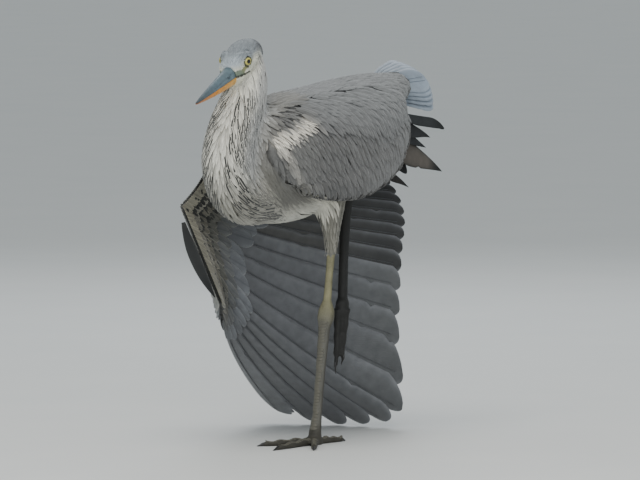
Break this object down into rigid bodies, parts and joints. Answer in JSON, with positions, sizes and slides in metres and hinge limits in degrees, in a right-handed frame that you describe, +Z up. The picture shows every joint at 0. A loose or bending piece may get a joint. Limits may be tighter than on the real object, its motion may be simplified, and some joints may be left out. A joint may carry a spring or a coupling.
{
  "type": "grey heron",
  "caption": "Still life-size juvenile grey heron standing on one leg, with the other leg and one wing stretched down behind the body and the neck drawn back in an S.",
  "frame": {"origin": "middle of the standing left foot's sole, on the floor", "axes": "-Y the way the body faces, +X the bird's left, +Z up"},
  "size_m": [0.2606, 0.5503, 0.4881],
  "materials": {
    "plumage_grey": "matt grey contour feathers",
    "plumage_white": "matt off-white contour feathers",
    "plumage_dark": "slate-black flight feathers",
    "horn_dark": "satin blue-grey horn",
    "horn_yellow": "satin orange-yellow horn",
    "eye": "wet pale yellow eye with a black pupil",
    "leg_pale": "pale olive scaled skin",
    "leg_dark": "dark brown scaled skin"
  },
  "bodies": {
    "root": {"trunk": "plumage_grey", "neck_lower": "plumage_white", "neck_upper": "plumage_white", "head": "plumage_white", "bill_upper": "horn_dark", "bill_lower": "horn_yellow", "eye_left": "eye", "eye_right": "eye", "tail": "plumage_grey", "wing_left": "plumage_grey", "wing_left_primaries": "plumage_dark", "alula_right": "plumage_dark", "wing_right_arm": "plumage_dark", "wing_right_hand": "plumage_dark", "wing_right_secondaries": "plumage_dark", "wing_right_primaries": "plumage_dark", "thigh_left": "plumage_white", "shin_left": "leg_pale", "tarsus_left": "leg_pale", "thigh_right": "plumage_grey", "shin_right": "leg_dark", "tarsus_right": "leg_dark", "toe_middle_left": "leg_dark", "toe_inner_left": "leg_dark", "toe_outer_left": "leg_dark", "toe_hind_left": "leg_dark", "toe_middle_right": "leg_dark", "toe_inner_right": "leg_dark", "toe_outer_right": "leg_dark", "toe_hind_right": "leg_dark"}
  },
  "joints": []
}
